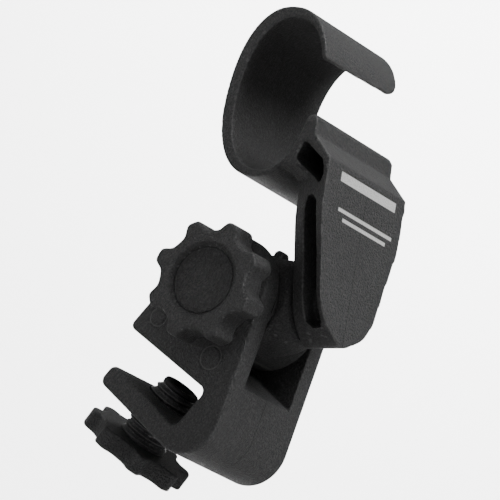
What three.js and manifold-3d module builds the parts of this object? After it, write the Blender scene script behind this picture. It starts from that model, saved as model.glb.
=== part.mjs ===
// Clamp-on mount that carries a small oval-bodied flashlight on the brim of a helmet.
// Units are millimetres and +Z is up.
// The origin is on the clamp's upper seat, on the thumbscrew's axis: X runs along the
// tilt axis, Y points out of the clamp's throat, and Z is square to the lower jaw. The
// seat slopes, and the thumbscrew leans in the play of its coarse thread.

import * as THREE from 'three';
import { mergeVertices } from 'three/addons/utils/BufferGeometryUtils.js';
import Module from 'manifold-3d';

const wasm = await Module();
wasm.setup();

// ---------------------------------------------------------------- driving dimensions

const RADIAL_STEPS = 36;
const REACH = 80;                                  // longer than any cut needs

const PIVOT = { y: -1.3, z: 18.65 };               // tilt axis, along X
const CLIP_TILT = THREE.MathUtils.degToRad(40);    // how far the clip leans back at rest
const SEAT_ANGLE = THREE.MathUtils.degToRad(5.6);  // slope of the seat
const SCREW_LEAN = {
  near: THREE.MathUtils.degToRad(3.7),             // towards the tilt knob
  out: THREE.MathUtils.degToRad(1.3),              // towards the throat's mouth
};

const BRACKET = {
  width: 28,
  earGap: 18.6,
  ear: { y: -0.3, z: 19.65, r: 11.3 },             // rounded top of both ears
  heel: { y: -15.0, z: -4.85, r: 8.65 },           // big lower corner
  throatY: -14.65,
  jawTopZ: -8.95,
  jawBottomZ: -14.0,                               // under the jaw's tip
  jawTipY: 7.75,
  throatR: 1.6,
  tipR: 1.7,
  mouthR: 1.3,
  floorZ: 6.75,                                    // bottom of the slot between the ears
  edgeR: 0.6,
};

const TILT_BOLT = { r: 2.5, headFlats: 8, headX: [11.1, 14.7], endX: -19.6 };
const WASHER = { inner: 2.9, outer: 10.8, x: [8.45, 9.15] };

const TILT_LOBES = { tipR: 13.35, valleyR: 10.85, count: 8, halfDeg: 9.8, edgeR: 0.6 };
const CLAMP_LOBES = { tipR: 12.5, valleyR: 10.2, count: 8, halfDeg: 9.5, edgeR: 0.55 };
const TILT_KNOB = { faceX: -22, backX: -15.4, washerX: -14.25, capR: 7.1, insertR: 4.4 };

const HUB = {
  eyeR: 11.6,
  eyeHalf: 8.3,
  faceN: 12.9,
  faceR: 7.7,
  pocketFloorN: 8.2,
  pocketR: 4.6,
  screwHoleR: 2.2,
};

// Clip sizes are given as n, straight out from the tilt axis through the clip's front
// face, and d, up along the clip.
const BLOCK = {
  backN: 13.6,
  frontN: 22.9,                                    // front face at the height of the axis
  frontLean: 0.045,                                // and how much further out it is per d
  lipHalf: 16.35,
  lipD: 37.7,
  topHalf: 16.3,
  shoulderD: 27.7,
  bottomD: -9.2,
  flareD: [24.3, 26.4],                            // where the back widens to meet the ring
  backShare: 0.64,                                 // width of the back face over the front's
  webHalf: 1.7,
};

const RING = {
  half: 15.5,
  inner: { n: 8.4, d: 42.7, a: 9.8, b: 17.0, power: 2.2 },
  outer: { n: 7.5, d: 43.25, a: 11.65, b: 19.0, power: 2.25 },
  lean: THREE.MathUtils.degToRad(9.8),             // long axis leans towards the front
  lip: { n: 17.6, d: 37.2 },                       // lower end of the C
  tip: { n: 19.0, d: 49.9 },                       // free upper end of the C
};

const SWIVEL = { shankR: 2.0, headR: 3.7, headN: [3.9, 6.2], endN: 19.6 };

// Heights are along the thumbscrew's own axis, down from the seat.
const CLAMP = {
  threadR: 5.5,
  tipR: 4.3,
  tipZ: -4.65,
  taperZ: -8.5,
  shoulderZ: -19.15,
  driveR: 4.2,
  driveEndZ: -20.95,
  hollowR: 3.1,
  hollowEndZ: -14.3,
  tapTopZ: -16.9,
  rimZ: -5.8,                                      // where the screw ends under its foot
  knobZ: [-23.4, -19.3],
};

// ---------------------------------------------------------------- solid helpers

function solidOf(geometry) {
  const bare = geometry.clone();
  bare.deleteAttribute('normal');
  bare.deleteAttribute('uv');
  const merged = mergeVertices(bare, 1e-4);
  return new wasm.Manifold(new wasm.Mesh({
    numProp: 3,
    vertProperties: new Float32Array(merged.attributes.position.array),
    triVerts: new Uint32Array(merged.index.array),
  }));
}

function geometryOf(solid) {
  const data = solid.getMesh();
  const geometry = new THREE.BufferGeometry();
  geometry.setAttribute('position', new THREE.BufferAttribute(data.vertProperties, 3));
  geometry.setIndex(new THREE.BufferAttribute(data.triVerts, 1));
  geometry.computeVertexNormals();
  return geometry;
}

const ALONG_X = new THREE.Matrix4().makeBasis(
  new THREE.Vector3(0, 1, 0), new THREE.Vector3(0, 0, 1), new THREE.Vector3(1, 0, 0));
const ALONG_FRONT = new THREE.Matrix4().makeBasis(
  new THREE.Vector3(1, 0, 0), new THREE.Vector3(0, 0, 1), new THREE.Vector3(0, -1, 0));

// A shape drawn in Y and Z, extruded along X from x0 to x1.
function slabX(shape, x0, x1, edge = 0, steps = 24) {
  const geometry = new THREE.ExtrudeGeometry(shape, {
    depth: x1 - x0 - 2 * edge,
    curveSegments: steps,
    bevelEnabled: edge > 0,
    bevelThickness: edge,
    bevelSize: edge,
    bevelOffset: -edge,
    bevelSegments: 2,
  });
  geometry.translate(0, 0, x0 + edge);
  return geometry.applyMatrix4(ALONG_X);
}

// A shape drawn in X and Z, extruded towards the clip's front from n0 to n1.
function slabFront(shape, n0, n1, edge = 0, steps = 24) {
  const geometry = new THREE.ExtrudeGeometry(shape, {
    depth: n1 - n0 - 2 * edge,
    curveSegments: steps,
    bevelEnabled: edge > 0,
    bevelThickness: edge,
    bevelSize: edge,
    bevelOffset: -edge,
    bevelSegments: 2,
    steps: 4,
  });
  geometry.translate(0, 0, n0 + edge);
  return geometry.applyMatrix4(ALONG_FRONT);
}

// A profile of [radius, height] pairs turned about an axis: X, Z or the clip's front.
function turned(pairs, axis, steps = RADIAL_STEPS) {
  const points = pairs.map(([r, h]) => new THREE.Vector2(r, h));
  const geometry = new THREE.LatheGeometry(points, steps);
  if (axis === 'x') geometry.rotateZ(-Math.PI / 2);
  if (axis === 'z') geometry.rotateX(Math.PI / 2);
  if (axis === 'front') geometry.rotateX(Math.PI);
  return geometry;
}

function rod(r, h0, h1, axis, steps = RADIAL_STEPS) {
  return turned([[0, h0], [r, h0], [r, h1], [0, h1]], axis, steps);
}

function tube(inner, outer, h0, h1, axis, steps = RADIAL_STEPS) {
  return turned([[inner, h0], [outer, h0], [outer, h1], [inner, h1], [inner, h0]], axis, steps);
}

function hexagon(flats, a0, a1) {
  return rod(flats / Math.sqrt(3), a0, a1, 'x', 6);
}

function box(x0, x1, y0, y1, z0, z1) {
  const geometry = new THREE.BoxGeometry(x1 - x0, y1 - y0, z1 - z0);
  return geometry.translate((x0 + x1) / 2, (y0 + y1) / 2, (z0 + z1) / 2);
}

// ---------------------------------------------------------------- materials

function material(color, roughness, metalness = 0) {
  return new THREE.MeshStandardMaterial({ color, roughness, metalness });
}

function nylon() {
  return material(0x1c1d1e, 0.62);
}

function steel() {
  return material(0x9a9da1, 0.35, 1);
}

function brass() {
  return material(0xb08d4a, 0.4, 1);
}

function rubber() {
  return material(0x111111, 0.85);
}

function named(name, geometry, finish) {
  const mesh = new THREE.Mesh(geometry, finish);
  mesh.name = name;
  return mesh;
}

// ---------------------------------------------------------------- bracket

// Point and outward normal where one straight back line touches both round corners.
function backTangent() {
  const { ear, heel } = BRACKET;
  const dy = ear.y - heel.y;
  const dz = ear.z - heel.z;
  const span = Math.hypot(dy, dz);
  const swing = Math.asin((heel.r - ear.r) / span);
  return Math.atan2(dz, dy) + Math.PI / 2 - swing;
}

// The seat is tangent to the round at the back of the throat and to the one at its mouth.
function bracketOutline() {
  const { ear, heel, throatY, jawTopZ, jawBottomZ, jawTipY, throatR, tipR, mouthR } = BRACKET;
  const quarter = Math.PI / 2;
  const back = backTangent();
  const mouthY = ear.y + ear.r;
  const innerY = throatY + throatR;
  const outerY = mouthY - mouthR;
  const besideSeat = (y, r) => (r - y * Math.sin(SEAT_ANGLE)) / Math.cos(SEAT_ANGLE);
  const shape = new THREE.Shape();
  shape.moveTo(mouthY, ear.z);
  shape.absarc(ear.y, ear.z, ear.r, 0, back, false);
  shape.absarc(heel.y, heel.z, heel.r, back, 3 * quarter, false);
  shape.absarc(jawTipY - tipR, jawBottomZ + tipR, tipR, -quarter, 0, false);
  shape.absarc(jawTipY - tipR, jawTopZ - tipR, tipR, 0, quarter, false);
  shape.absarc(innerY, jawTopZ + throatR, throatR, 3 * quarter, Math.PI, true);
  shape.absarc(innerY, besideSeat(innerY, -throatR), throatR, Math.PI, quarter - SEAT_ANGLE, true);
  shape.absarc(outerY, besideSeat(outerY, mouthR), mouthR, -quarter - SEAT_ANGLE, 0, false);
  shape.closePath();
  return shape;
}

// Turns anything drawn along Z onto the thumbscrew's axis.
function leaning(thing) {
  return thing.rotateY(-SCREW_LEAN.near).rotateX(-SCREW_LEAN.out);
}

function ejectorMarks() {
  const near = -BRACKET.width / 2;
  const marks = [
    { y: 6.6, z: 4.9, r: 2.3 },
    { y: -10.4, z: 7.0, r: 2.8 },
  ];
  return marks.map(({ y, z, r }) => {
    const disc = rod(r, near - 1, near + 0.25, 'x', 32);
    return disc.translate(0, y, z);
  });
}

function bracket() {
  const half = BRACKET.width / 2;
  const gap = BRACKET.earGap / 2;
  let body = solidOf(slabX(bracketOutline(), -half, half, BRACKET.edgeR, 8));
  const cuts = [
    box(-gap, gap, -REACH, REACH, BRACKET.floorZ, REACH),
    rod(TILT_BOLT.r + 0.15, -half - 1, half + 1, 'x').translate(0, PIVOT.y, PIVOT.z),
    hexagon(TILT_BOLT.headFlats + 0.5, TILT_BOLT.headX[0] - 0.1, half + 1)
      .translate(0, PIVOT.y, PIVOT.z),
    leaning(rod(CLAMP.threadR + 0.3, -REACH, -4, 'z')),
    ...ejectorMarks(),
  ];
  for (const cut of cuts) body = body.subtract(solidOf(cut));
  return named('bracket', geometryOf(body), nylon());
}

function tiltBolt() {
  const [headIn, headOut] = TILT_BOLT.headX;
  const head = solidOf(hexagon(TILT_BOLT.headFlats, headIn, headOut));
  const shank = solidOf(rod(TILT_BOLT.r, TILT_BOLT.endX, headIn + 1, 'x'));
  const mesh = named('tilt_bolt', geometryOf(head.add(shank)), steel());
  mesh.position.set(0, PIVOT.y, PIVOT.z);
  return mesh;
}

function frictionWasher(name, side) {
  const [x0, x1] = WASHER.x.map((x) => side * x).sort((a, b) => a - b);
  const mesh = named(name, tube(WASHER.inner, WASHER.outer, x0, x1, 'x'), rubber());
  mesh.position.set(0, PIVOT.y, PIVOT.z);
  return mesh;
}

// ---------------------------------------------------------------- lobed knobs

// Steep-sided lobes, each about 20 degrees wide, standing out of a plain round rim.
function knobShape({ tipR, valleyR, count, halfDeg }) {
  const pitch = 360 / count;
  const fromCrest = [0, 4, 7, 9, 11, 14];
  const offsets = [...fromCrest, pitch / 2, ...fromCrest.slice(1).map((off) => pitch - off).reverse()];
  const points = [];
  for (let lobe = 0; lobe < count; lobe += 1) {
    for (const off of offsets) {
      const fromNearest = Math.min(off, pitch - off);
      const r = valleyR + (tipR - valleyR) / (1 + (fromNearest / halfDeg) ** 5);
      const angle = THREE.MathUtils.degToRad(lobe * pitch + off);
      points.push(new THREE.Vector2(r * Math.cos(angle), r * Math.sin(angle)));
    }
  }
  return new THREE.Shape(points);
}

function lobedDisc(lobes, h0, h1) {
  const geometry = new THREE.ExtrudeGeometry(knobShape(lobes), {
    depth: h1 - h0 - 2 * lobes.edgeR,
    bevelThickness: lobes.edgeR,
    bevelSize: lobes.edgeR,
    bevelOffset: -lobes.edgeR,
    bevelSegments: 2,
  });
  return geometry.translate(0, 0, h0 + lobes.edgeR);
}

function tiltKnob() {
  const { faceX, backX, capR, insertR } = TILT_KNOB;
  const lobeTurn = THREE.MathUtils.degToRad(32);
  const blank = lobedDisc(TILT_LOBES, faceX, backX).rotateZ(lobeTurn).applyMatrix4(ALONG_X);
  const faceRecess = [[0, faceX - 1], [capR + 1.2, faceX - 1], [capR + 1.2, faceX],
    [capR + 0.2, faceX + 0.7], [capR + 0.2, faceX + 2], [0, faceX + 2]];
  let body = solidOf(blank);
  body = body.subtract(solidOf(turned(faceRecess, 'x')));
  body = body.subtract(solidOf(rod(insertR + 0.1, faceX + 1, backX + 1, 'x')));
  body = body.subtract(solidOf(rod(6.3, backX - 1.1, backX + 1, 'x')));
  return named('tilt_knob', geometryOf(body), nylon());
}

function tiltKnobParts() {
  const { faceX, backX, washerX, capR, insertR } = TILT_KNOB;
  const parts = [
    tiltKnob(),
    named('tilt_knob_insert', tube(TILT_BOLT.r + 0.1, insertR, faceX + 2.2, backX - 1.4, 'x'), brass()),
    named('tilt_knob_cap', rod(capR, faceX + 0.7, faceX + 1.9, 'x'), nylon()),
    named('tilt_washer', tube(TILT_BOLT.r + 0.2, 6.0, backX - 0.85, washerX, 'x'), steel()),
  ];
  for (const part of parts) part.position.set(0, PIVOT.y, PIVOT.z);
  return parts;
}

// ---------------------------------------------------------------- thumbscrew

function clampScrew() {
  const { threadR, tipR, rimZ, taperZ, shoulderZ, driveR, driveEndZ, hollowR } = CLAMP;
  const { hollowEndZ, tapTopZ } = CLAMP;
  const tapR = 1.6;
  return named('clamp_screw', turned([
    [0, tapTopZ], [tapR, tapTopZ], [tapR, driveEndZ], [driveR, driveEndZ], [driveR, shoulderZ],
    [threadR, shoulderZ], [threadR, taperZ], [tipR + 0.3, rimZ], [hollowR, rimZ],
    [hollowR, hollowEndZ], [0, hollowEndZ],
  ], 'z'), nylon());
}

function clampKnob() {
  const [bottom, top] = CLAMP.knobZ;
  let body = solidOf(lobedDisc(CLAMP_LOBES, bottom, top));
  body = body.subtract(solidOf(rod(CLAMP.driveR + 0.15, CLAMP.driveEndZ - 0.15, top + 1, 'z')));
  body = body.subtract(solidOf(rod(1.8, bottom - 1, top + 1, 'z')));
  body = body.subtract(solidOf(rod(7.3, bottom - 1, bottom + 1.45, 'z')));
  return named('clamp_knob', geometryOf(body), nylon());
}

// Ring-shaped foot that stays still against the brim while the screw turns under it.
function clampFoot() {
  const { tipR, tipZ, rimZ, hollowR, hollowEndZ } = CLAMP;
  const flangeZ = rimZ + 0.25;
  const stemR = hollowR - 0.2;
  const boreR = 2.1;
  return named('clamp_foot', turned([
    [boreR, hollowEndZ + 0.4], [stemR, hollowEndZ + 0.4], [stemR, flangeZ], [tipR, flangeZ],
    [tipR - 0.2, tipZ], [boreR + 0.9, tipZ], [boreR, tipZ - 0.9], [boreR, hollowEndZ + 0.4],
  ], 'z'), rubber());
}

function clampParts() {
  const [bottom] = CLAMP.knobZ;
  const keeper = turned([
    [0, bottom + 0.9], [2.9, bottom + 0.9], [2.9, bottom + 1.35], [1.5, bottom + 1.35],
    [1.5, CLAMP.tapTopZ - 0.4], [0, CLAMP.tapTopZ - 0.4],
  ], 'z');
  return [
    clampScrew(),
    clampKnob(),
    clampFoot(),
    named('clamp_knob_screw', keeper, steel()),
    named('clamp_knob_cap', rod(7.1, bottom + 0.15, bottom + 0.75, 'z'), nylon()),
  ];
}

// ---------------------------------------------------------------- swivel hub

function hubDome() {
  const side = new THREE.SplineCurve([
    new THREE.Vector2(10.9, 0), new THREE.Vector2(10.6, 4), new THREE.Vector2(10.1, 8),
    new THREE.Vector2(9.3, 11), new THREE.Vector2(8.5, 12.3), new THREE.Vector2(HUB.faceR, HUB.faceN),
  ]);
  const rim = side.getPoints(14).map((p) => [p.x, p.y]);
  return turned([[0, 0], ...rim, [0, HUB.faceN]], 'front');
}

// Small lug on top of the eye that limits the tilt.
function hubStop() {
  const angle = THREE.MathUtils.degToRad(66.5);
  const radius = 12.2;
  const lug = rod(1.2, -1.3, 1.3, 'x', 20);
  return lug.translate(0, -radius * Math.cos(angle), radius * Math.sin(angle));
}

function swivelHub() {
  const half = HUB.eyeHalf;
  let body = solidOf(rod(HUB.eyeR, -half, half, 'x', 56));
  const dome = solidOf(hubDome());
  body = body.add(dome.intersect(solidOf(box(-half, half, -REACH, REACH, -REACH, REACH))));
  body = body.add(solidOf(hubStop()));
  const cuts = [
    rod(TILT_BOLT.r + 0.15, -half - 1, half + 1, 'x'),
    rod(HUB.pocketR, -20, HUB.pocketFloorN, 'front'),
    rod(HUB.screwHoleR, 0, HUB.faceN + 1, 'front'),
  ];
  for (const cut of cuts) body = body.subtract(solidOf(cut));
  return named('swivel_hub', geometryOf(body), nylon());
}

function swivelHardware() {
  const [head0, head1] = SWIVEL.headN;
  const screw = turned([
    [0, head0], [SWIVEL.headR - 0.8, head0], [SWIVEL.headR, head0 + 0.8], [SWIVEL.headR, head1],
    [SWIVEL.shankR, head1], [SWIVEL.shankR, SWIVEL.endN], [0, SWIVEL.endN],
  ], 'front');
  return [
    named('swivel_screw', screw, steel()),
    named('swivel_spring_washer', tube(2.15, 3.6, 6.35, 7.15, 'front'), steel()),
    named('swivel_washer', tube(2.15, 4.2, 7.3, 8.05, 'front'), steel()),
    named('swivel_friction_disc', tube(2.6, 6.4, 13.05, 13.45, 'front'), rubber()),
    named('swivel_insert', tube(2.1, 3.4, 13.9, 19.9, 'front'), brass()),
  ];
}

// ---------------------------------------------------------------- light clip

// Oval with slightly squared ends; its long axis leans towards the clip's front.
function ovalPoints({ n, d, a, b, power }, steps = 64) {
  const points = [];
  for (let i = 0; i < steps; i += 1) {
    const angle = (i / steps) * Math.PI * 2;
    const c = Math.cos(angle);
    const s = Math.sin(angle);
    const across = a * Math.sign(c) * Math.abs(c) ** (2 / power);
    const along = b * Math.sign(s) * Math.abs(s) ** (2 / power);
    const nn = n + across * Math.cos(RING.lean) + along * Math.sin(RING.lean);
    const dd = d - across * Math.sin(RING.lean) + along * Math.cos(RING.lean);
    points.push(new THREE.Vector2(-nn, dd));
  }
  return points;
}

function ovalSolid(oval, half) {
  return solidOf(slabX(new THREE.Shape(ovalPoints(oval)), -half, half));
}

// Wedge from inside the oval out through the C's open side, between its two ends.
function mouthWedge() {
  const { lip, tip, inner } = RING;
  const far = 3;
  const shape = new THREE.Shape([
    new THREE.Vector2(-inner.n, inner.d + 1.5),
    new THREE.Vector2(-(inner.n + far * (tip.n - inner.n)), inner.d + 1.5 + far * (tip.d - inner.d - 1.5)),
    new THREE.Vector2(-(inner.n + far * (lip.n - inner.n)), inner.d + 1.5 + far * (lip.d - inner.d - 1.5)),
  ]);
  return solidOf(slabX(shape, -REACH, REACH));
}

// Where the block's front face is at height d.
function frontFace(d) {
  return BLOCK.frontN + BLOCK.frontLean * d;
}

// Front view of the block and its lip: rounded top corners, tapering sides, rounded foot.
function blockFront() {
  const { lipHalf, lipD, topHalf, bottomD, flareD } = BLOCK;
  const cornerR = 1.7;
  const right = [
    [topHalf, 24.1], [16.3, 20], [16.1, 16.2], [14.9, 11.8], [13.5, 7.3], [12.4, 2.9],
    [11.35, -0.7], [10.5, -2.4], [9.25, -4.2], [7.8, -5.65], [6.0, -6.8], [4.1, -7.8],
  ].map(([x, d]) => new THREE.Vector2(x, d));
  const left = right.map((p) => new THREE.Vector2(-p.x, p.y)).reverse();
  const shape = new THREE.Shape();
  shape.moveTo(cornerR - lipHalf, lipD);
  shape.lineTo(lipHalf - cornerR, lipD);
  shape.absarc(lipHalf - cornerR, lipD - cornerR, cornerR, Math.PI / 2, 0, true);
  for (const d of [33, flareD[1], flareD[0]]) shape.lineTo(d > 30 ? lipHalf : topHalf, d);
  shape.lineTo(right[0].x, right[0].y);
  shape.splineThru(right.slice(1));
  shape.quadraticCurveTo(2.2, bottomD, 0, bottomD);
  shape.quadraticCurveTo(-2.2, bottomD, left[0].x, left[0].y);
  shape.splineThru(left.slice(1));
  for (const d of [flareD[0], flareD[1], 33]) shape.lineTo(d > 30 ? -lipHalf : -topHalf, d);
  shape.absarc(cornerR - lipHalf, lipD - cornerR, cornerR, Math.PI, Math.PI / 2, true);
  return shape;
}

// The block's front view, narrowed towards its back face up to the flare under the ring.
function blockWedge() {
  const { backN, backShare, flareD, lipD } = BLOCK;
  const geometry = slabFront(blockFront(), backN - 8, frontFace(lipD) + 1, 0, 4);
  const position = geometry.attributes.position;
  for (let i = 0; i < position.count; i += 1) {
    const d = position.getZ(i);
    const depth = (frontFace(d) + position.getY(i)) / (frontFace(d) - backN);
    const narrowing = d > flareD[1] - 0.01 ? 0.03 : 1 - backShare;
    position.setX(i, position.getX(i) * (1 - depth * narrowing));
  }
  return solidOf(geometry);
}

function clipShape(pairs) {
  return new THREE.Shape(pairs.map(([n, d]) => new THREE.Vector2(-n, d)));
}

// Side view of the block, up to the lip where the ring grows out of it.
function blockSide() {
  const { backN, shoulderD, lipD } = BLOCK;
  const belowFoot = -15;
  return clipShape([
    [backN, belowFoot], [frontFace(belowFoot), belowFoot], [frontFace(shoulderD), shoulderD],
    [19.7, 33.0], [19.7, lipD - 1.3], [19.2, lipD - 0.4], [18.2, lipD], [16.0, lipD - 0.3],
    [9.0, 30.0], [9.6, 26.6], [11.4, 26.4], [13.0, 25.6], [backN, 24.0],
  ]);
}

// Pockets in the block's sides: a diamond under the ring and a tall slot.
function sidePocket(shape, side) {
  const inner = BLOCK.webHalf;
  return solidOf(side > 0 ? slabX(shape, inner, REACH) : slabX(shape, -REACH, -inner));
}

function diamondShape() {
  return clipShape([
    [17.2, 31.4], [17.9, 31.2], [22.2, 27.3], [22.4, 26.6], [22.3, 24.2], [21.6, 22.8],
    [20.7, 22.8], [15.7, 27.6], [15.7, 28.6],
  ]);
}

function slotShape() {
  return clipShape([
    [17.0, 19.0], [17.6, 20.4], [19.0, 20.6], [21.0, 18.8], [21.4, 15.0], [21.4, -5.2],
    [20.6, -6.4], [18.4, -6.4], [17.0, -5.2],
  ]);
}

// What the C's free end leaves out, seen from the front: the edge rises a little towards
// the far side and ends in a large round there, with a small round at the near side.
function tipTrim() {
  const { half, inner, tip } = RING;
  const far = { x: 10.6, d: tip.d + 5.4, r: 4.6 };
  const near = { x: 1 - half, d: tip.d + 1, r: 1 };
  const shape = new THREE.Shape();
  shape.moveTo(-half - 1, tip.d + 1);
  shape.lineTo(-half, tip.d + 1);
  shape.absarc(near.x, near.d, near.r, Math.PI, Math.PI * 1.5, false);
  shape.absarc(far.x, far.d, far.r, -Math.PI * 0.55, 0, false);
  shape.lineTo(half, far.d + 2);
  shape.lineTo(half + 1, far.d + 2);
  shape.lineTo(half + 1, tip.d - 2);
  shape.lineTo(-half - 1, tip.d - 2);
  shape.closePath();
  return solidOf(slabFront(shape, inner.n, tip.n + 5, 0, 5));
}

// Full-width bar along the front of the C's lower end, with a bevel down to the block.
function lipBar(wedge) {
  const lipD = BLOCK.lipD;
  const side = clipShape([
    [15.4, 31.0], [19.7, 33.0], [19.7, lipD - 1.3], [19.2, lipD - 0.4], [18.2, lipD],
    [17.2, lipD - 0.1], [16.2, 35.0],
  ]);
  return solidOf(slabX(side, -BLOCK.lipHalf, BLOCK.lipHalf)).intersect(wedge);
}

function lightClip() {
  const bore = ovalSolid(RING.inner, REACH);
  const front = blockWedge();
  const lip = lipBar(front);
  const mouth = mouthWedge();
  const ring = ovalSolid(RING.outer, RING.half).subtract(mouth).subtract(tipTrim());
  let body = front.intersect(solidOf(slabX(blockSide(), -REACH, REACH)));
  for (const direction of [-1, 1]) {
    body = body.subtract(sidePocket(diamondShape(), direction));
    body = body.subtract(sidePocket(slotShape(), direction));
  }
  body = body.add(solidOf(rod(4.6, 14.2, 21.8, 'front')));
  body = body.add(ring).subtract(bore).subtract(mouth.subtract(lip));
  body = body.subtract(solidOf(rod(3.5, BLOCK.backN - 1, 20.4, 'front')));
  return named('light_clip', geometryOf(body), nylon());
}

// ---------------------------------------------------------------- assembly

const clipFrame = new THREE.Group();
clipFrame.position.set(0, PIVOT.y, PIVOT.z);
clipFrame.rotation.x = -CLIP_TILT;
clipFrame.add(swivelHub(), ...swivelHardware(), lightClip());

const clampFrame = new THREE.Group();
clampFrame.rotation.set(-SCREW_LEAN.out, -SCREW_LEAN.near, 0);
clampFrame.add(...clampParts());

const mount = new THREE.Group();
mount.add(bracket(), tiltBolt());
mount.add(frictionWasher('friction_washer_near', -1), frictionWasher('friction_washer_far', 1));
mount.add(...tiltKnobParts(), clampFrame, clipFrame);

export default mount;
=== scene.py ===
"""Looks of a clamp-on mount that carries a small flashlight on the brim of a helmet.

The CAD frame sets every place and size. Lengths below are millimetres, turned into
metres as each piece is finished. The origin is on the clamp's upper seat, on the
thumbscrew's axis: X runs along the tilt axis, Y out of the clamp's throat and Z is square
to the lower jaw. The seat slopes, and the thumbscrew leans in the play of its thread.
"""
import math

import bmesh
import bpy
from mathutils import Matrix, Vector


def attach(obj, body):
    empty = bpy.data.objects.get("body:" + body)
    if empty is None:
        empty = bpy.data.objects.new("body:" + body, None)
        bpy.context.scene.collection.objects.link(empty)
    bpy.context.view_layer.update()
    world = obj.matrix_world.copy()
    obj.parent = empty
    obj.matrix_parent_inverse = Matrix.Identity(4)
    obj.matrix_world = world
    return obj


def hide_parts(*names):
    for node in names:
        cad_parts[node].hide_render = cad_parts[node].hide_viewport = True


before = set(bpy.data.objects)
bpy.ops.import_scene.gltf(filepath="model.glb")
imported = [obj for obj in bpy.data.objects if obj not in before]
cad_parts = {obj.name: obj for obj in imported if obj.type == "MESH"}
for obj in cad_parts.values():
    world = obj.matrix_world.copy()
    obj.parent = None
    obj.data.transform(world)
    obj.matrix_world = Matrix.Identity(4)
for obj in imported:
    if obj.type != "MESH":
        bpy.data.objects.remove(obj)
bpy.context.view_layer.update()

MM = 0.001
BEYOND = 60                                # clear of the whole object, for cutting tools
PIVOT = Vector((0, -1.3, 18.65))
SEAT_ANGLE = math.radians(5.6)
CLIP_TILT = math.radians(40)
FRONT = Vector((0, -math.cos(CLIP_TILT), math.sin(CLIP_TILT)))
UP_CLIP = Vector((0, math.sin(CLIP_TILT), math.cos(CLIP_TILT)))
CLIP_FRAME = Matrix.Translation(PIVOT) @ Matrix.Rotation(-CLIP_TILT, 4, "X")
LEAN_NEAR, LEAN_OUT = math.radians(3.7), math.radians(1.3)
CLAMP_FRAME = Matrix.Rotation(-LEAN_OUT, 4, "X") @ Matrix.Rotation(-LEAN_NEAR, 4, "Y")
BOLT_HOLE_R = 2.65


# ------------------------------------------------------------------ mesh helpers

def along_x(a, b, h):
    return (h, a, b)


def along_y(a, b, h):
    return (a, -h, b)


def along_z(a, b, h):
    return (a, b, h)


def mesh_object(name, verts, faces):
    mesh = bpy.data.meshes.new(name)
    mesh.from_pydata([tuple(v) for v in verts], [], faces)
    mesh.validate()
    ob = bpy.data.objects.new(name, mesh)
    bpy.context.collection.objects.link(ob)
    return ob


def outward(ob):
    """Turns every face of a closed mesh outwards."""
    bm = bmesh.new()
    bm.from_mesh(ob.data)
    bmesh.ops.recalc_face_normals(bm, faces=bm.faces)
    bm.to_mesh(ob.data)
    bm.free()
    return ob


def prism(name, outline, h0, h1, place, levels=1, warp=None):
    """A closed outline of (a, b) pairs, pulled from h0 to h1. warp moves each point."""
    count = len(outline)
    verts = []
    for level in range(levels + 1):
        h = h0 + (h1 - h0) * level / levels
        for a, b in outline:
            if warp:
                a, b = warp(a, b, h)
            verts.append(place(a, b, h))
    faces = [tuple(reversed(range(count))), tuple(range(levels * count, (levels + 1) * count))]
    for level in range(levels):
        base = level * count
        for i in range(count):
            j = (i + 1) % count
            faces.append((base + i, base + j, base + count + j, base + count + i))
    return outward(mesh_object(name, verts, faces))


def turned(name, profile, place, steps=96, close=False):
    """A profile of (radius, height) pairs turned about the axis of place."""
    verts, rings = [], []
    for r, h in profile:
        if r < 1e-6:
            rings.append([len(verts)])
            verts.append(place(0, 0, h))
            continue
        rings.append(list(range(len(verts), len(verts) + steps)))
        for i in range(steps):
            t = 2 * math.pi * i / steps
            verts.append(place(r * math.cos(t), r * math.sin(t), h))
    faces = []
    pairs = list(zip(rings, rings[1:] + (rings[:1] if close else [])))
    for one, two in pairs if close else pairs[:len(rings) - 1]:
        for i in range(steps):
            j = (i + 1) % steps
            if len(one) == 1 and len(two) == 1:
                continue
            if len(one) == 1:
                faces.append((one[0], two[j], two[i]))
            elif len(two) == 1:
                faces.append((one[i], one[j], two[0]))
            else:
                faces.append((one[i], one[j], two[j], two[i]))
    return outward(mesh_object(name, verts, faces))


def rod(name, r, h0, h1, place, steps=96):
    return turned(name, [(0, h0), (r, h0), (r, h1), (0, h1)], place, steps)


def block(name, x, y, z):
    verts = [(a, b, c) for a in x for b in y for c in z]
    faces = [(0, 1, 3, 2), (4, 6, 7, 5), (0, 4, 5, 1), (2, 3, 7, 6), (0, 2, 6, 4), (1, 5, 7, 3)]
    return outward(mesh_object(name, verts, faces))


def baked(ob):
    """Applies the modifiers."""
    shape = bpy.data.meshes.new_from_object(
        ob.evaluated_get(bpy.context.evaluated_depsgraph_get()))
    old = ob.data
    ob.modifiers.clear()
    ob.data = shape
    bpy.data.meshes.remove(old)
    return ob


def combine(ob, other, how):
    m = ob.modifiers.new("combine", "BOOLEAN")
    m.operation = how
    m.solver = "EXACT"
    m.object = other
    baked(ob)
    bpy.data.objects.remove(other, do_unlink=True)
    return ob


def cut(ob, *others):
    for other in others:
        combine(ob, other, "DIFFERENCE")
    return ob


def join(ob, *others):
    for other in others:
        combine(ob, other, "UNION")
    return ob


def keep_inside(ob, other):
    return combine(ob, other, "INTERSECT")


def bevelled(ob, width, segments=3, angle=60):
    m = ob.modifiers.new("bevel", "BEVEL")
    m.width = width
    m.segments = segments
    m.limit_method = "ANGLE"
    m.angle_limit = math.radians(angle)
    return baked(ob)


def moulded(ob, voxel, passes):
    """Gives the whole surface the small even radii of a moulded piece."""
    m = ob.modifiers.new("remesh", "REMESH")
    m.mode = "VOXEL"
    m.voxel_size = voxel
    m.adaptivity = 0
    m.use_smooth_shade = True
    s = ob.modifiers.new("smooth", "SMOOTH")
    s.factor = 0.5
    s.iterations = passes
    return baked(ob)


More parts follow.
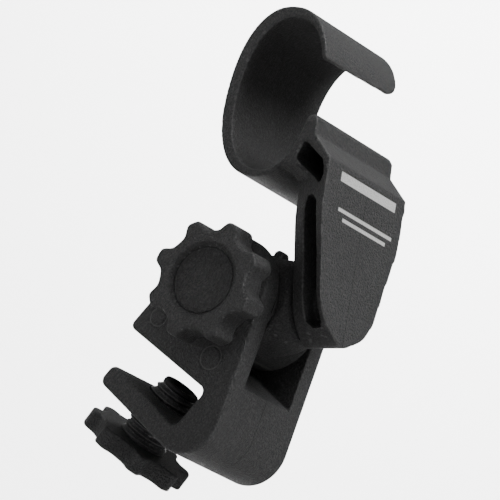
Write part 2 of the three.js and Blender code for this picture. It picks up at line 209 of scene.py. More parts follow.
def finished(ob, body, node, finish, placing=None):
    """Turns a piece into metres, gives it its finish and lets it ride on its body."""
    if placing:
        ob.data.transform(placing)
    ob.data.transform(Matrix.Scale(MM, 4))
    ob.data.materials.clear()
    ob.data.materials.append(finish)
    for polygon in ob.data.polygons:
        polygon.use_smooth = True
    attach(ob, body)
    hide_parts(node)
    return ob


# ------------------------------------------------------------------ finishes

def bsdf_of(name):
    mat = bpy.data.materials.new(name)
    mat.use_nodes = True
    nodes, links = mat.node_tree.nodes, mat.node_tree.links
    return mat, nodes, links, nodes["Principled BSDF"]


def noise(nodes, links, coords, scale, detail=3, rough=0.55):
    n = nodes.new("ShaderNodeTexNoise")
    n.inputs["Scale"].default_value = scale
    n.inputs["Detail"].default_value = detail
    n.inputs["Roughness"].default_value = rough
    links.new(coords, n.inputs["Vector"])
    return n.outputs["Fac"]


def ranged(nodes, links, value, low, high, out_low, out_high):
    r = nodes.new("ShaderNodeMapRange")
    r.inputs["From Min"].default_value = low
    r.inputs["From Max"].default_value = high
    r.inputs["To Min"].default_value = out_low
    r.inputs["To Max"].default_value = out_high
    links.new(value, r.inputs["Value"])
    return r.outputs["Result"]


def mixed(nodes, links, factor, one, two):
    """Colour one where the factor is 0, colour two where it is 1."""
    m = nodes.new("ShaderNodeMix")
    m.data_type = "RGBA"
    links.new(factor, m.inputs["Factor"])
    for socket, colour in ((m.inputs[6], one), (m.inputs[7], two)):
        if isinstance(colour, tuple):
            socket.default_value = (*colour, 1)
        else:
            links.new(colour, socket)
    return m.outputs[2]


def bumped(nodes, links, height, strength, distance, under=None):
    b = nodes.new("ShaderNodeBump")
    b.inputs["Strength"].default_value = strength
    b.inputs["Distance"].default_value = distance
    links.new(height, b.inputs["Height"])
    if under:
        links.new(under, b.inputs["Normal"])
    return b.outputs["Normal"]


def dot(nodes, links, coords, direction, origin=(0, 0, 0)):
    """How far a point lies along a direction from an origin, in millimetres."""
    away = nodes.new("ShaderNodeVectorMath")
    away.operation = "SUBTRACT"
    links.new(coords, away.inputs[0])
    away.inputs[1].default_value = tuple(MM * v for v in origin)
    along = nodes.new("ShaderNodeVectorMath")
    along.operation = "DOT_PRODUCT"
    links.new(away.outputs["Vector"], along.inputs[0])
    along.inputs[1].default_value = tuple(v / MM for v in direction)
    return along.outputs["Value"]


def arithmetic(nodes, links, how, one, two):
    m = nodes.new("ShaderNodeMath")
    m.operation = how
    for socket, value in ((m.inputs[0], one), (m.inputs[1], two)):
        if isinstance(value, (int, float)):
            socket.default_value = value
        else:
            links.new(value, socket)
    return m.outputs["Value"]


def band(nodes, links, value, centre, half, soft):
    """1 within half of the centre, fading to 0 over soft beyond that."""
    signed = arithmetic(nodes, links, "SUBTRACT", value, centre)
    off = arithmetic(nodes, links, "ABSOLUTE", signed, 0)
    return ranged(nodes, links, off, half, half + soft, 1, 0)


def seam_line(nodes, links, coords):
    """Fine line where the two halves of the mould met, along the middle of the bracket's back."""
    line = band(nodes, links, dot(nodes, links, coords, (1, 0, 0)), 0, 0.10, 0.14)
    behind = ranged(nodes, links, dot(nodes, links, coords, (0, 1, 0)), -13.0, -12.0, 1, 0)
    return arithmetic(nodes, links, "MULTIPLY", line, behind)


def ejector_rings(nodes, links, coords):
    """Thin rings round the two ejector marks on the near side of the bracket."""
    total = None
    for y, z, r in EJECTOR_MARKS:
        parts = []
        for axis, centre in (((0, 1, 0), y), ((0, 0, 1), z)):
            off = arithmetic(nodes, links, "SUBTRACT", dot(nodes, links, coords, axis), centre)
            parts.append(arithmetic(nodes, links, "MULTIPLY", off, off))
        away = arithmetic(nodes, links, "SQRT", arithmetic(nodes, links, "ADD", *parts), 0)
        ring = band(nodes, links, away, r - 0.25, 0.08, 0.14)
        total = arithmetic(nodes, links, "MAXIMUM", total, ring) if total else ring
    near = ranged(nodes, links, dot(nodes, links, coords, (1, 0, 0)), -13.6, -13.4, 1, 0)
    return arithmetic(nodes, links, "MULTIPLY", total, near)


def flow_line(nodes, links, coords):
    """Faint raised line down the middle of the block's front face."""
    front = dot(nodes, links, coords, FRONT, PIVOT)
    near_front = ranged(nodes, links, front, 20.5, 21.5, 0, 1)
    line = band(nodes, links, dot(nodes, links, coords, (1, 0, 0)), 0.6, 0.05, 0.25)
    return arithmetic(nodes, links, "MULTIPLY", line, near_front)


def print_bars(nodes, links, coords):
    """Plain bars where the block's front face is printed."""
    across = dot(nodes, links, coords, (1, 0, 0))
    up = dot(nodes, links, coords, UP_CLIP, PIVOT)
    front = dot(nodes, links, coords, FRONT, PIVOT)
    total = None
    soft = 0.08
    for centre, half_height, middle, half_width in PRINT_BARS:
        bar = arithmetic(nodes, links, "MULTIPLY",
                         band(nodes, links, up, centre, half_height, soft),
                         band(nodes, links, across, middle, half_width, soft))
        total = arithmetic(nodes, links, "MAXIMUM", total, bar) if total else bar
    near_front = ranged(nodes, links, front, 22.0, 22.3, 0, 1)
    return arithmetic(nodes, links, "MULTIPLY", total, near_front)


# A patch scale is in waves per metre. A depth is how far full bump moves the surface.
PATCH_SCALE = 60
GRAIN_DEPTH = 0.9 * MM
LINE_DEPTH = 0.12 * MM
LINE_SHARE, LINE_COLOUR = 0.75, (0.004, 0.004, 0.004)
PRINT_COLOUR = (0.62, 0.62, 0.61)


def moulded_black(name, tone, roughness, grain, grain_size, raised=None, printed=None, rings=None):
    """Black glass-filled nylon: fine spark-eroded grain, dusty patches, and pale edges that are
    partly rubbed wear and partly a painted highlight.

    raised gives thin mould lines, rings gives pale rings, and printed gives print on top.
    """
    mat, nodes, links, bsdf = bsdf_of(name)
    coords = nodes.new("ShaderNodeTexCoord").outputs["Object"]
    cloud = noise(nodes, links, coords, PATCH_SCALE, 4)
    fine = noise(nodes, links, coords, 1 / (grain_size * MM), 3, 0.7)
    # Convex edges found by pointiness and lightened: partly rubbed wear, partly a painted edge
    # highlight.
    wear_and_edge_highlight = ranged(nodes, links, nodes.new("ShaderNodeNewGeometry").outputs["Pointiness"],
                  0.52, 0.57, 0, 0.8)
    dusty = ranged(nodes, links, cloud, 0.35, 0.7, 0, 1)
    speckle = ranged(nodes, links, fine, 0.46, 0.66, 0, 0.8)
    deep = tuple(tone * 0.7 * c for c in (0.97, 0.99, 1.03))
    pale = tuple(tone * c for c in (0.98, 1.0, 1.02))
    rubbed = tuple(tone * 3.2 * c for c in (1.0, 1.0, 1.0))
    # Pale edge colour, partly wear and partly painted highlight; the ejector rings use it too.
    edge = tuple(tone * 5.0 * c for c in (1.0, 1.0, 1.0))
    base = mixed(nodes, links, dusty, deep, pale)
    base = mixed(nodes, links, speckle, base, rubbed)
    colour = mixed(nodes, links, wear_and_edge_highlight, base, edge)
    line = raised(nodes, links, coords) if raised else None
    if line:
        faint = arithmetic(nodes, links, "MULTIPLY", line, LINE_SHARE)
        colour = mixed(nodes, links, faint, colour, LINE_COLOUR)
    if rings:
        colour = mixed(nodes, links, rings(nodes, links, coords), colour, edge)
    if printed:
        colour = mixed(nodes, links, printed(nodes, links, coords), colour, PRINT_COLOUR)
    links.new(colour, bsdf.inputs["Base Color"])
    links.new(ranged(nodes, links, cloud, 0.3, 0.7, roughness - 0.05, roughness + 0.06),
              bsdf.inputs["Roughness"])
    normal = bumped(nodes, links, fine, grain, GRAIN_DEPTH)
    if line:
        normal = bumped(nodes, links, line, 0.6, LINE_DEPTH, normal)
    links.new(normal, bsdf.inputs["Normal"])
    bsdf.inputs["Specular IOR Level"].default_value = 0.5
    return mat


def metal(name, colour, roughness):
    mat, nodes, links, bsdf = bsdf_of(name)
    coords = nodes.new("ShaderNodeTexCoord").outputs["Object"]
    cloud = noise(nodes, links, coords, 180, 4)
    fine = noise(nodes, links, coords, 4000, 2)
    dark = tuple(0.72 * c for c in colour)
    links.new(mixed(nodes, links, ranged(nodes, links, cloud, 0.35, 0.7, 0, 1), colour, dark),
              bsdf.inputs["Base Color"])
    bsdf.inputs["Metallic"].default_value = 1
    links.new(ranged(nodes, links, cloud, 0.3, 0.7, roughness - 0.08, roughness + 0.1),
              bsdf.inputs["Roughness"])
    links.new(bumped(nodes, links, fine, 0.15, 0.05 * MM), bsdf.inputs["Normal"])
    return mat


def rubber_finish():
    mat, nodes, links, bsdf = bsdf_of("rubber_finish")
    coords = nodes.new("ShaderNodeTexCoord").outputs["Object"]
    cloud = noise(nodes, links, coords, 140, 3)
    fine = noise(nodes, links, coords, 5200, 2)
    links.new(mixed(nodes, links, ranged(nodes, links, cloud, 0.35, 0.7, 0, 1),
                    (0.012, 0.012, 0.013), (0.022, 0.022, 0.022)), bsdf.inputs["Base Color"])
    links.new(ranged(nodes, links, cloud, 0.3, 0.7, 0.7, 0.85), bsdf.inputs["Roughness"])
    links.new(bumped(nodes, links, fine, 0.3, 0.08 * MM), bsdf.inputs["Normal"])
    return mat


# Place along Y and Z and radius of the two ejector marks.
EJECTOR_MARKS = ((6.6, 4.9, 2.3), (-10.4, 7.0, 2.8))

# Height up the clip, half height, place across and half width of each bar.
PRINT_BARS = ((25.1, 1.0, 0.8, 11.5), (18.2, 0.35, 1.4, 11.2), (16.4, 0.35, 1.4, 9.0))

# Tone, roughness, strength of the grain and its size in millimetres.
BODY_FINISH = moulded_black("textured_nylon", 0.020, 0.50, 1.0, 0.44,
                            raised=seam_line, rings=ejector_rings)
CLIP_FINISH = moulded_black("printed_nylon", 0.018, 0.50, 1.0, 0.44,
                            raised=flow_line, printed=print_bars)
HUB_FINISH = moulded_black("plain_nylon", 0.015, 0.50, 1.0, 0.44)
KNOB_FINISH = moulded_black("smooth_nylon", 0.016, 0.44, 1.0, 0.46)
SCREW_FINISH = moulded_black("thread_nylon", 0.024, 0.36, 0.3, 0.40)
RUBBER = rubber_finish()
STEEL = metal("zinc_steel", (0.56, 0.57, 0.60), 0.34)
BRASS = metal("turned_brass", (0.72, 0.52, 0.24), 0.36)


# ------------------------------------------------------------------ bracket

BRACKET_HALF = 14.0
EAR_GAP = 18.6
EAR = (-0.3, 19.65, 11.3)                  # centre along Y and Z, and radius
HEEL = (-15.0, -4.85, 8.65)
THROAT_Y = -14.65
JAW_BOTTOM = -14.0
JAW_TOP = -8.95
JAW_TIP_Y = 7.75
JAW_HOLE_R = 5.8
SLOT_FLOOR = 6.75
HEX_ACROSS_FLATS, HEX_FLOOR_X = 8.5, 11.0
MARK_DEPTH, MARK_GROOVE = 0.3, 0.5


def arc(y, z, r, a0, a1, steps):
    angles = [a0 + (a1 - a0) * i / steps for i in range(steps + 1)]
    return [(y + r * math.cos(a), z + r * math.sin(a)) for a in angles]


def beside_seat(y, r):
    """Height of the centre of a round of radius r that is tangent to the sloping seat."""
    return (r - y * math.sin(SEAT_ANGLE)) / math.cos(SEAT_ANGLE)


def bracket_outline():
    quarter = math.pi / 2
    dy, dz = EAR[0] - HEEL[0], EAR[1] - HEEL[1]
    back = math.atan2(dz, dy) + quarter - math.asin((HEEL[2] - EAR[2]) / math.hypot(dy, dz))
    throat_r, tip_r, mouth_r = 1.6, 1.7, 1.3
    inner = THROAT_Y + throat_r
    outer = EAR[0] + EAR[2] - mouth_r
    return (
        arc(*EAR, 0, back, 64)
        + arc(*HEEL, back, 3 * quarter, 48)
        + arc(JAW_TIP_Y - tip_r, JAW_BOTTOM + tip_r, tip_r, -quarter, 0, 12)
        + arc(JAW_TIP_Y - tip_r, JAW_TOP - tip_r, tip_r, 0, quarter, 12)
        + arc(inner, JAW_TOP + throat_r, throat_r, 3 * quarter, 2 * quarter, 12)
        + arc(inner, beside_seat(inner, -throat_r), throat_r, 2 * quarter, quarter - SEAT_ANGLE, 12)
        + arc(outer, beside_seat(outer, mouth_r), mouth_r, -quarter - SEAT_ANGLE, 0, 10)
    )


def build_bracket():
    ob = prism("bracket_body", bracket_outline(), -BRACKET_HALF, BRACKET_HALF, along_x)
    bevelled(ob, width=0.65, segments=4)
    gap = EAR_GAP / 2
    cut(ob, block("slot", (-gap, gap), (-BEYOND, BEYOND), (SLOT_FLOOR, BEYOND + 20)))
    hole = rod("jaw_hole", JAW_HOLE_R, -BEYOND, -4, along_z)
    hole.data.transform(CLAMP_FRAME)
    cut(ob, hole)
    cross = rod("cross_hole", BOLT_HOLE_R, -30, 30, along_x, 48)
    cross.data.transform(Matrix.Translation(PIVOT))
    pocket = rod("hex_pocket", HEX_ACROSS_FLATS / math.sqrt(3), HEX_FLOOR_X, 30, along_x, 6)
    pocket.data.transform(Matrix.Translation(PIVOT))
    cut(ob, cross, pocket)
    above, floor_x = -BRACKET_HALF - 1, -BRACKET_HALF + MARK_DEPTH
    for y, z, r in EJECTOR_MARKS:
        inner = r - MARK_GROOVE
        groove = [(r, above), (r, floor_x), (inner, floor_x), (inner, above)]
        mark = turned("mark", groove, along_x, 64, close=True)
        mark.data.transform(Matrix.Translation((0, y, z)))
        cut(ob, mark)
    moulded(ob, voxel=0.22, passes=3)
    return finished(ob, "bracket", "bracket", BODY_FINISH)


# ------------------------------------------------------------------ light clip

BLOCK_BACK = 13.6
BLOCK_HALF, LIP_HALF, LIP_TOP = 16.3, 16.35, 37.7
SHOULDER = 27.7
FLARE = (24.3, 26.4)
BACK_SHARE = 0.64                          # width left at the back below the flare
FLARE_TAPER = 0.03
FRONT_N, FRONT_SLOPE = 22.9, 0.045
RING_HALF = 15.5
RING_LEAN = math.radians(9.8)
# Centre, half width, half length and squareness of the two ovals.
RING_INNER = (8.4, 42.7, 9.8, 17.0, 2.2)
RING_OUTER = (7.5, 43.25, 11.65, 19.0, 2.25)
LIP = (17.6, 37.2)
TIP = (19.0, 49.9)


def oval(n, d, a, b, power, steps=256):
    points = []
    for i in range(steps):
        t = 2 * math.pi * i / steps
        c, s = math.cos(t), math.sin(t)
        across = a * math.copysign(abs(c) ** (2 / power), c)
        along = b * math.copysign(abs(s) ** (2 / power), s)
        nn = n + across * math.cos(RING_LEAN) + along * math.sin(RING_LEAN)
        dd = d - across * math.sin(RING_LEAN) + along * math.cos(RING_LEAN)
        points.append((-nn, dd))
    return points


def side_view(pairs):
    return [(-n, d) for n, d in pairs]


def mouth_wedge():
    """Side view of the opening between the C's free end and the lip."""
    n, d = RING_INNER[0], RING_INNER[1] + 1.5
    far = 3
    return side_view([(n, d), (n + far * (TIP[0] - n), d + far * (TIP[1] - d)),
                      (n + far * (LIP[0] - n), d + far * (LIP[1] - d))])


def front_face(d):
    return FRONT_N + FRONT_SLOPE * d


def through(knots, before, after, steps=6):
    """Points of a smooth curve through the knots, up to but not including the last."""
    points = []
    row = [before] + knots + [after]
    for k in range(1, len(knots)):
        p0, p1, p2, p3 = row[k - 1:k + 3]
        for i in range(steps):
            t = i / steps
            points.append(tuple(
                0.5 * (2 * b + (c - a) * t + (2 * a - 5 * b + 4 * c - e) * t * t
                       + (3 * b - a - 3 * c + e) * t ** 3)
                for a, b, c, e in zip(p0, p1, p2, p3)))
    return points


def block_front():
    """Front view of the block and its lip, from the middle of the lip round to the foot."""
    corner = 1.7
    top = [(0, LIP_TOP)] + [(x, d) for x, d in reversed(
        arc(LIP_HALF - corner, LIP_TOP - corner, corner, 0, math.pi / 2, 8))]
    sides = [(LIP_HALF, 33), (BLOCK_HALF, FLARE[1]), (BLOCK_HALF, FLARE[0])]
    foot = (0, -9.2)
    knots = [(16.3, 24.1), (16.3, 20), (16.1, 16.2), (14.9, 11.8), (13.5, 7.3), (12.4, 2.9),
             (11.35, -0.7), (10.5, -2.4), (9.25, -4.2), (7.8, -5.65), (6.0, -6.8), (4.1, -7.8),
             (2.0, -8.85), foot]
    right = top + sides + through(knots, (16.3, 26), (-2.0, -8.85))
    left = [(-x, d) for x, d in reversed(right[1:])]
    return right + [foot] + left


def narrowed(x, d, h):
    """Block outline at depth h, narrower towards its back below the flare."""
    depth = (front_face(d) - h) / (front_face(d) - BLOCK_BACK)
    share = FLARE_TAPER if d > FLARE[1] - 0.01 else 1 - BACK_SHARE
    return x * (1 - depth * share), d


def tip_trim():
    """What the C's free end leaves out, seen from the front: the edge rises a little towards
    the far side and ends in a large round there, with a small round at the near side."""
    d = TIP[1]
    outside = RING_HALF + 1
    outline = [(-outside, d + 1), (-RING_HALF, d + 1)]
    outline += arc(1 - RING_HALF, d + 1, 1, math.pi, 1.5 * math.pi, 8)
    outline += arc(10.6, d + 5.4, 4.6, -0.55 * math.pi, 0, 20)
    outline += [(RING_HALF, d + 7.4), (outside, d + 7.4), (outside, d - 2), (-outside, d - 2)]
    return prism("tip_trim", outline, RING_INNER[0], TIP[0] + 5, along_y)


def lip_side():
    """Side view of the lip's crest, for cutting the mouth around it."""
    return side_view([(15.4, 31.0), (19.7, 33.0), (19.7, LIP_TOP - 1.3), (19.2, LIP_TOP - 0.4),
                      (18.2, LIP_TOP), (17.2, LIP_TOP - 0.1), (16.2, 35.0)])


def front_solid(name):
    return prism(name, block_front(), BLOCK_BACK - 8, front_face(LIP_TOP) + 1, along_y, 8, narrowed)


def block_side():
    """Side view of the block with its bevel, its lip and the seat of the ring."""
    below = -15
    return side_view([
        (BLOCK_BACK, below), (front_face(below), below), (front_face(SHOULDER), SHOULDER),
        (19.7, 33.0), (19.7, LIP_TOP - 1.3), (19.2, LIP_TOP - 0.4), (18.2, LIP_TOP),
        (16.0, LIP_TOP - 0.3), (9.0, 30.0), (9.6, 26.6), (11.4, 26.4), (13.0, 25.6),
        (BLOCK_BACK, 24.0)])


def side_pockets():
    """Side views of the two pockets in each side of the block."""
    diamond = side_view([(17.2, 31.4), (17.9, 31.2), (22.2, 27.3), (22.4, 26.6), (22.3, 24.2),
                         (21.6, 22.8), (20.7, 22.8), (15.7, 27.6), (15.7, 28.6)])
    slot = side_view([(17.0, 19.0), (17.6, 20.4), (19.0, 20.6), (21.0, 18.8), (21.4, 15.0),
                      (21.4, -5.2), (20.6, -6.4), (18.4, -6.4), (17.0, -5.2)])
    return diamond, slot


def build_clip():
    ring = prism("light_clip_body", oval(*RING_OUTER), -RING_HALF, RING_HALF, along_x)
    cut(ring, prism("wedge", mouth_wedge(), -BEYOND, BEYOND, along_x), tip_trim())
    body = front_solid("block")
    keep_inside(body, prism("side", block_side(), -40, 40, along_x))
    web = 1.7                              # half of what is left between the pockets
    for outline in side_pockets():
        for x0, x1 in ((web, 40), (-40, -web)):
            cut(body, prism("pocket", outline, x0, x1, along_x))
    join(body, rod("boss", 4.6, 14.2, 21.8, along_y, 64))
    join(body, ring)
    lip = keep_inside(prism("lip", lip_side(), -40, 40, along_x), front_solid("lip_front"))
    mouth = cut(prism("mouth", mouth_wedge(), -BEYOND, BEYOND, along_x), lip)
    cut(body, prism("bore", oval(*RING_INNER), -BEYOND, BEYOND, along_x), mouth)
    cut(body, rod("screw_hole", 3.5, BLOCK_BACK - 1, 20.4, along_y, 48))
    body.name = "light_clip_body"
    moulded(body, voxel=0.24, passes=3)
    return finished(body, "clip", "light_clip", CLIP_FINISH, CLIP_FRAME)


# ------------------------------------------------------------------ swivel hub

HUB_HALF, EYE_R = 8.3, 11.6
LUG_R, LUG_FROM_AXIS, LUG_ANGLE = 1.2, 12.2, math.radians(66.5)


def build_hub():
    eye = rod("swivel_hub_body", EYE_R, -HUB_HALF, HUB_HALF, along_x, 192)
    bevelled(eye, width=0.4)
    profile = [(0, 0), (10.9, 0), (10.6, 4), (10.3, 6.5), (10.1, 8), (9.8, 9.6), (9.3, 11),
               (8.9, 11.8), (8.5, 12.3), (8.3, 12.5), (7.7, 12.9), (0, 12.9)]
    dome = turned("dome", profile, along_y, 160)
    keep_inside(dome, block("sides", (-HUB_HALF, HUB_HALF), (-BEYOND, BEYOND), (-BEYOND, BEYOND)))
    join(eye, dome)
    lug = rod("lug", LUG_R, -1.3, 1.3, along_x, 32)
    lug_place = Vector((0, -math.cos(LUG_ANGLE), math.sin(LUG_ANGLE))) * LUG_FROM_AXIS
    lug.data.transform(Matrix.Translation(lug_place))
    join(eye, lug)
    cut(eye, rod("cross", BOLT_HOLE_R, -30, 30, along_x, 64))
    cut(eye, rod("pocket", 4.6, -20, 8.2, along_y, 64))
    cut(eye, rod("hole", 2.2, 0, 30, along_y, 48))
    moulded(eye, voxel=0.25, passes=3)
    return finished(eye, "hub", "swivel_hub", HUB_FINISH, CLIP_FRAME)


# ------------------------------------------------------------------ lobed knobs

KNOB_LOBES = 8
# Radius at the lobes, radius between them and half a lobe's width.
TILT_LOBES = 13.35, 10.85, math.radians(9.8)
CLAMP_LOBES = 12.65, 10.35, math.radians(9.5)
TILT_KNOB_TURN = math.radians(32)
TILT_KNOB_FACE, TILT_KNOB_BACK = -22.0, -15.4
TILT_PLACE = Matrix.Translation(PIVOT)
KNOB_VOXEL = 0.17


def lobe_radius(lobes, angle):
    """Round lobes, each about 20 degrees wide, standing out of a plain round rim."""
    pitch = 2 * math.pi / KNOB_LOBES
    off = abs((angle + pitch / 2) % pitch - pitch / 2)
    tip, valley, half = lobes
    return valley + (tip - valley) / (1 + (off / half) ** 5)


def lobed(name, profile, lobes, turn, place, steps=480):
    """A knob: profile gives rings as (round or lobed, radius or inset, height)."""
    verts, faces, rings = [], [], []
    for kind, value, h in profile:
        ring = []
        for i in range(steps):
            t = 2 * math.pi * i / steps
            r = value if kind == "round" else lobe_radius(lobes, t) - value
            ring.append(len(verts))
            verts.append(place(r * math.cos(t + turn), r * math.sin(t + turn), h))
        rings.append(ring)
    for one, two in zip(rings, rings[1:]):
        for i in range(steps):
            j = (i + 1) % steps
            faces.append((one[i], one[j], two[j], two[i]))
    for ring, h in ((rings[0], profile[0][2]), (rings[-1], profile[-1][2])):
        centre = len(verts)
        verts.append(place(0, 0, h))
        faces += [(centre, ring[(i + 1) % steps], ring[i]) for i in range(steps)]
    return outward(mesh_object(name, verts, faces))


def rounded_rim(h_face, h_back, r, steps=8):
    """Rings of a lobed rim with a radius r at both edges."""
    angles = [math.pi / 2 * i / steps for i in range(steps + 1)]
    front = [("lobed", r - r * math.sin(a), h_face + r - r * math.cos(a)) for a in angles]
    rear = [("lobed", r - r * math.cos(a), h_back - r + r * math.sin(a)) for a in angles]
    return front, rear


def build_tilt_knob():
    face, back = TILT_KNOB_FACE, TILT_KNOB_BACK
    front, rear = rounded_rim(face, back, 0.7)
    profile = [("round", 7.25, face + 1.1), ("round", 7.3, face + 0.75),
               ("round", 7.36, face + 0.68), ("round", 8.15, face + 0.06),
               ("round", 8.25, face + 0.01), ("round", 8.4, face), ("round", 9.2, face)]
    profile += front + rear
    ob = lobed("tilt_knob_body", profile, TILT_LOBES, TILT_KNOB_TURN, along_x)
    cut(ob, rod("insert_bore", 4.5, face + 1, back + 1, along_x, 64))
    cut(ob, rod("washer_bore", 6.3, back - 1.1, back + 1, along_x, 96))
    moulded(ob, KNOB_VOXEL, passes=2)
    return finished(ob, "tilt_knob", "tilt_knob", KNOB_FINISH, TILT_PLACE)


def build_tilt_cap():
    face = TILT_KNOB_FACE
    profile = [(0, face + 0.66), (6.6, face + 0.68), (7.0, face + 0.7), (7.12, face + 0.78),
               (7.15, face + 0.9), (7.1, face + 1.9), (0, face + 1.9)]
    ob = turned("tilt_knob_disc", profile, along_x, 160)
    return finished(ob, "tilt_knob", "tilt_knob_cap", KNOB_FINISH, TILT_PLACE)


# ------------------------------------------------------------------ thumbscrew

# Heights along the thumbscrew's own axis, down from the seat.
CLAMP_KNOB_Z = -23.5, -19.2
THREAD_Z = -19.15, -5.8
DRIVE_END_Z, TAP_TOP_Z, HOLLOW_END_Z = -20.95, -16.9, -14.3
TAPER_Z, TAPER_LENGTH, TAPER_DROP = -8.5, 2.7, 0.9
THREAD_R, THREAD_PITCH, THREAD_DEPTH = 5.5, 1.5, 0.55
RUN_IN = 0.8                               # over which the thread starts at the knob


def build_clamp_knob():
    bottom, top = CLAMP_KNOB_Z
    front, rear = rounded_rim(bottom, top, 0.55)
    profile = [("round", 7.3, bottom + 1.4), ("round", 7.4, bottom + 1.35),
               ("round", 7.5, bottom + 0.12), ("round", 7.7, bottom), ("round", 9.0, bottom)]
    profile += front + rear + [("round", 9.0, top), ("round", 6.0, top)]
    ob = lobed("clamp_knob_body", profile, CLAMP_LOBES, 0, along_z)
    cut(ob, rod("drive", 4.35, DRIVE_END_Z - 0.15, top + 1, along_z, 64))
    cut(ob, rod("keeper", 1.8, bottom - 1, top + 1, along_z, 48))
    moulded(ob, KNOB_VOXEL, passes=2)
    return finished(ob, "thumbscrew", "clamp_knob", KNOB_FINISH, CLAMP_FRAME)


def thread_radius(z, turn):
    """Radius of the thread at a height and at a share of a whole turn."""
    low = THREAD_Z[0]
    crest = THREAD_R
    if z >= TAPER_Z:
        crest -= (z - TAPER_Z) / TAPER_LENGTH * TAPER_DROP
    phase = (z / THREAD_PITCH - turn) % 1
    ramp = 0.5 - 0.5 * math.cos(2 * math.pi * phase)
    return crest - THREAD_DEPTH * min(1, (z - low) / RUN_IN) * ramp ** 0.7


def build_clamp_screw():
    """Coarse rounded thread, run out into the cone under the foot."""
    low, high = THREAD_Z
    around, per_mm = 96, 8
    verts = []

    def ring(radius_at, z):
        for i in range(around):
            t = 2 * math.pi * i / around
            r = radius_at(i / around)
            verts.append((r * math.cos(t), r * math.sin(t), z))
        return list(range(len(verts) - around, len(verts)))

    count = int((high - low) * per_mm)
    heights = [low + (high - low) * k / count for k in range(count + 1)]
    thread = [ring(lambda turn: thread_radius(z, turn), z) for z in heights]
    head = [ring(lambda turn: r, z) for r, z in (
        (1.6, TAP_TOP_Z), (1.6, DRIVE_END_Z), (4.2, DRIVE_END_Z), (4.2, low))]
    tail = [ring(lambda turn: 3.1, z) for z in (high, HOLLOW_END_Z)]
    rings = head + thread + tail
    faces = []
    for one, two in zip(rings, rings[1:]):
        for i in range(around):
            j = (i + 1) % around
            faces.append((one[i], one[j], two[j], two[i]))
    faces.append(tuple(rings[0]))
    faces.append(tuple(rings[-1]))
    ob = outward(mesh_object("clamp_screw_thread", verts, faces))
    return finished(ob, "thumbscrew", "clamp_screw", SCREW_FINISH, CLAMP_FRAME)


def build_clamp_foot():
    bore, stem, top = 2.1, 2.9, -4.65
    profile = [(bore, -13.9), (stem, -13.9), (stem, -5.55), (4.15, -5.55), (4.3, -5.4),
               (4.25, -4.95), (4.1, -4.7), (3.85, top), (3.0, top), (2.75, -4.72), (2.3, -5.15),
               (bore, -5.55)]
    ob = turned("clamp_foot_ring", profile, along_z, 96, close=True)
    return finished(ob, "clamp_foot", "clamp_foot", RUBBER, CLAMP_FRAME)


# ------------------------------------------------------------------ small hardware

def dress(node, finish, width):
    """Keeps the CAD piece and breaks its edges."""
    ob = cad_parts[node]
    ob.data.materials.clear()
    ob.data.materials.append(finish)
    m = ob.modifiers.new("edges", "BEVEL")
    m.width = width * MM
    m.segments = 3
    m.limit_method = "ANGLE"
    m.angle_limit = math.radians(40)


build_bracket()
build_clip()
build_hub()
build_tilt_knob()
build_tilt_cap()
build_clamp_knob()
build_clamp_screw()
build_clamp_foot()
for node in ("tilt_bolt", "tilt_washer", "clamp_knob_screw", "swivel_screw", "swivel_spring_washer",
             "swivel_washer"):
    dress(node, STEEL, 0.12)
for node in ("tilt_knob_insert", "swivel_insert"):
    dress(node, BRASS, 0.1)
for node in ("friction_washer_near", "friction_washer_far", "swivel_friction_disc"):
    dress(node, RUBBER, 0.05)
dress("clamp_knob_cap", KNOB_FINISH, 0.15)


# ------------------------------------------------------------------ stage, light, camera

# Axes of the camera's view.
RIGHT = Vector((0.512, -0.571, 0.642)).normalized()
BACK = Vector((-0.809, -0.572, 0.136)).normalized()
UP = BACK.cross(RIGHT).normalized()
BACK = RIGHT.cross(UP).normalized()
CAMERA_FROM_PIVOT = (-1.133, 12.416, 1062.5)   # along the view's axes, in millimetres

# The rest of the stage is in metres.
FLOOR_HALF, FLOOR_Z = 12, -0.6
LAMP_AIM = Vector((0, 0.005, 0.025))
WALL_AWAY, WALL_HALF, WALL_TOP = 2.2, 0.5, 0.0
WALL_LAMP_AWAY, WALL_LAMP_Z, WALL_LAMP_AIM_Z = 1.6, 0.15, -0.28
WALL_LAMP_SIZE, WALL_LAMP_POWER = (1.0, 0.2), 45


def world_white(strength):
    world = bpy.context.scene.world or bpy.data.worlds.new("world")
    bpy.context.scene.world = world
    world.use_nodes = True
    back = world.node_tree.nodes["Background"]
    back.inputs["Color"].default_value = (1, 1, 1, 1)
    back.inputs["Strength"].default_value = strength


def in_view(right, up, back):
    return RIGHT * right + UP * up + BACK * back


def lamp_object(name, shape, power, place, shines_from):
    """An area lamp at a place, which shines away from the direction shines_from."""
    data = bpy.data.lights.new(name, "AREA")
    data.shape = shape
    data.energy = power
    ob = bpy.data.objects.new(name, data)
    bpy.context.collection.objects.link(ob)
    ob.location = place
    ob.rotation_euler = shines_from.to_track_quat("Z", "Y").to_euler()
    return data


def lamp(name, toward, distance, size, power):
    direction = toward.normalized()
    data = lamp_object(name, "DISK", power, LAMP_AIM + direction * distance, direction)
    data.size = size


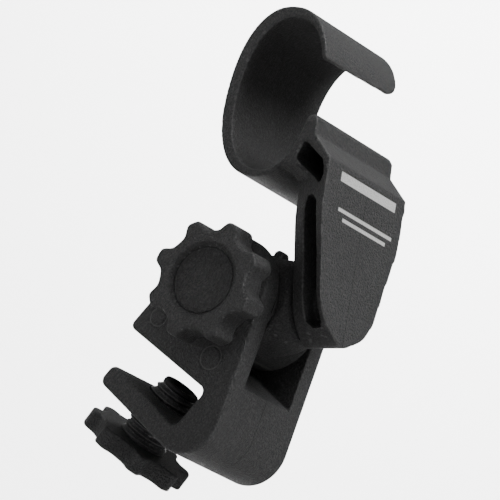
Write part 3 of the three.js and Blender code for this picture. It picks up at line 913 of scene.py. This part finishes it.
def camera():
    data = bpy.data.cameras.new("camera")
    data.lens = 360
    data.sensor_width = 36
    data.clip_end = 20
    data.clip_start = 0.05
    ob = bpy.data.objects.new("camera", data)
    bpy.context.collection.objects.link(ob)
    turn = Matrix((RIGHT, UP, BACK)).transposed().to_4x4()
    place = (PIVOT + in_view(*CAMERA_FROM_PIVOT)) * MM
    ob.matrix_world = Matrix.Translation(place) @ turn
    bpy.context.scene.camera = ob


def sheet(name, corners, finish):
    ob = mesh_object(name, corners, [(0, 1, 2, 3)])
    ob.data.materials.append(finish)


def floor(finish):
    size, z = FLOOR_HALF, FLOOR_Z
    sheet("floor", [(-size, -size, z), (size, -size, z), (size, size, z), (-size, size, z)], finish)


def backdrop(finish):
    """Pale wall behind the object with a lamp of its own, which faces away from the object."""
    away = Vector((-BACK.x, -BACK.y, 0)).normalized()
    side = Vector((0, 0, 1)).cross(away) * WALL_HALF
    up = Vector((0, 0, 1))
    centre = away * WALL_AWAY
    low, high = centre + up * FLOOR_Z, centre + up * WALL_TOP
    sheet("backdrop", [low - side, low + side, high + side, high - side], finish)
    place = away * WALL_LAMP_AWAY + up * WALL_LAMP_Z
    facing = (centre + up * WALL_LAMP_AIM_Z - place).normalized()
    data = lamp_object("backdrop_lamp", "RECTANGLE", WALL_LAMP_POWER, place, -facing)
    data.size, data.size_y = WALL_LAMP_SIZE


def pale_finish():
    mat, _, _, bsdf = bsdf_of("floor_finish")
    bsdf.inputs["Base Color"].default_value = (0.9, 0.9, 0.9, 1)
    bsdf.inputs["Roughness"].default_value = 0.9
    return mat


PALE = pale_finish()
floor(PALE)
world_white(0.2)
# Direction in the view, distance, size and power.
lamp("key", in_view(1.0, 0.5, 0.3), 0.7, 0.4, 6.6)
lamp("fill", in_view(-0.2, 0.7, 0.9), 0.8, 0.6, 1.3)
lamp("rim", in_view(0.3, 1.0, -0.2), 0.7, 0.4, 5.0)
lamp("left", in_view(-1.0, 0.5, 0.1), 0.7, 0.4, 0.9)
lamp("low", in_view(0.4, -0.9, 0.5), 0.7, 0.4, 1.5)
backdrop(PALE)
camera()
